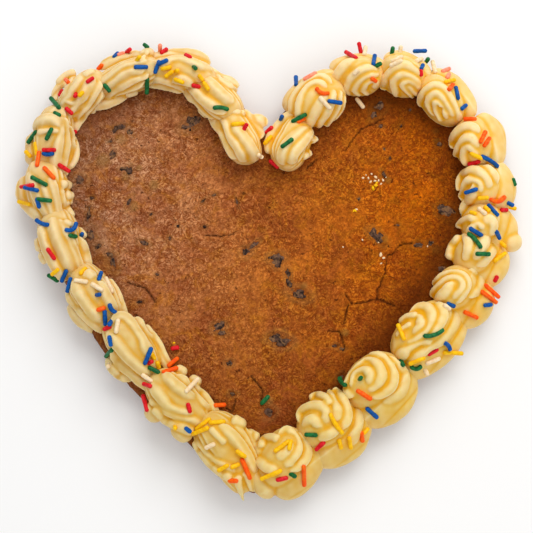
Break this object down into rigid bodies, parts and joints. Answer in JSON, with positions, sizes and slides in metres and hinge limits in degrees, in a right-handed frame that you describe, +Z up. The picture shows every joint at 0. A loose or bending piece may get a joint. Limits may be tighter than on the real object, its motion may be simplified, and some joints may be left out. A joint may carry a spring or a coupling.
{
  "type": "cookie cake",
  "caption": "Heart-shaped chocolate chip cookie cake with a piped buttercream border and coloured sprinkles.",
  "frame": {"origin": "on the cookie's flat underside, in the middle of the heart", "axes": "+Z up, +Y towards the notch between the two lobes, -Y towards the point, +X to the right seen from above"},
  "size_m": [0.2138, 0.1957, 0.0287],
  "materials": {
    "baked_cookie": "golden-brown baked cookie, matt and crumbly",
    "cream": "pale yellow buttercream, soft satin",
    "chip": "dark chocolate chips, dulled by baking",
    "sugar_blue": "blue sugar sprinkles, slightly shiny",
    "sugar_green": "green sugar sprinkles, slightly shiny",
    "sugar_red": "red sugar sprinkles, slightly shiny",
    "sugar_orange": "orange sugar sprinkles, slightly shiny",
    "sugar_yellow": "yellow sugar sprinkles, slightly shiny",
    "sugar_white": "off-white sugar sprinkles, slightly shiny",
    "sugar_peach": "pale pink sugar sprinkles, slightly shiny"
  },
  "bodies": {
    "root": {"cookie": "baked_cookie", "shell_01": "cream", "shell_02": "cream", "shell_03": "cream", "shell_04": "cream", "shell_05": "cream", "shell_06": "cream", "shell_07": "cream", "shell_08": "cream", "shell_09": "cream", "shell_10": "cream", "shell_11": "cream", "shell_12": "cream", "shell_13": "cream", "swirl_01": "cream", "swirl_02": "cream", "swirl_03": "cream", "swirl_04": "cream", "swirl_05": "cream", "swirl_06": "cream", "swirl_07": "cream", "swirl_08": "cream", "swirl_09": "cream", "swirl_10": "cream", "swirl_11": "cream", "swirl_12": "cream", "swirl_13": "cream"}
  },
  "joints": []
}
